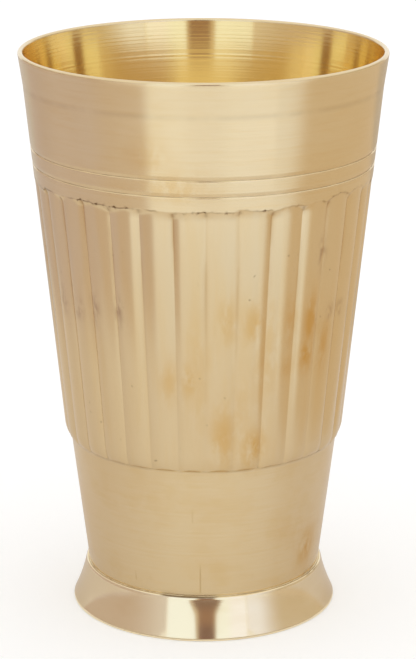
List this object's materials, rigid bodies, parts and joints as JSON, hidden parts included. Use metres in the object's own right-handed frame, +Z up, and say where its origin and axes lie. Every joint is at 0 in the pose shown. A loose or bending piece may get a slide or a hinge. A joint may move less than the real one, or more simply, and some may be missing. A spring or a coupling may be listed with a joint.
{
  "type": "drinking tumbler",
  "caption": "Footed brass drinking tumbler: a tapered cup with a flared lip, scribed grooves, a reeded band over a plain barrel and a flared ring foot.",
  "frame": {"origin": "centre of the circle that the foot stands on", "axes": "+Z up along the tumbler's axis, a valley between two reeds faces -Y"},
  "size_m": [0.0766, 0.0766, 0.12],
  "materials": {
    "turned_brass": "satin turned brass with fine turning lines and light tarnish",
    "floor_brass": "turned brass, a little duller than the wall",
    "foot_brass": "polished brass",
    "braze": "pale dull braze"
  },
  "bodies": {
    "root": {"cup_wall": "turned_brass", "cup_floor": "floor_brass", "foot_ring": "foot_brass", "floor_braze_ring": "braze", "foot_braze_ring": "braze"}
  },
  "joints": []
}
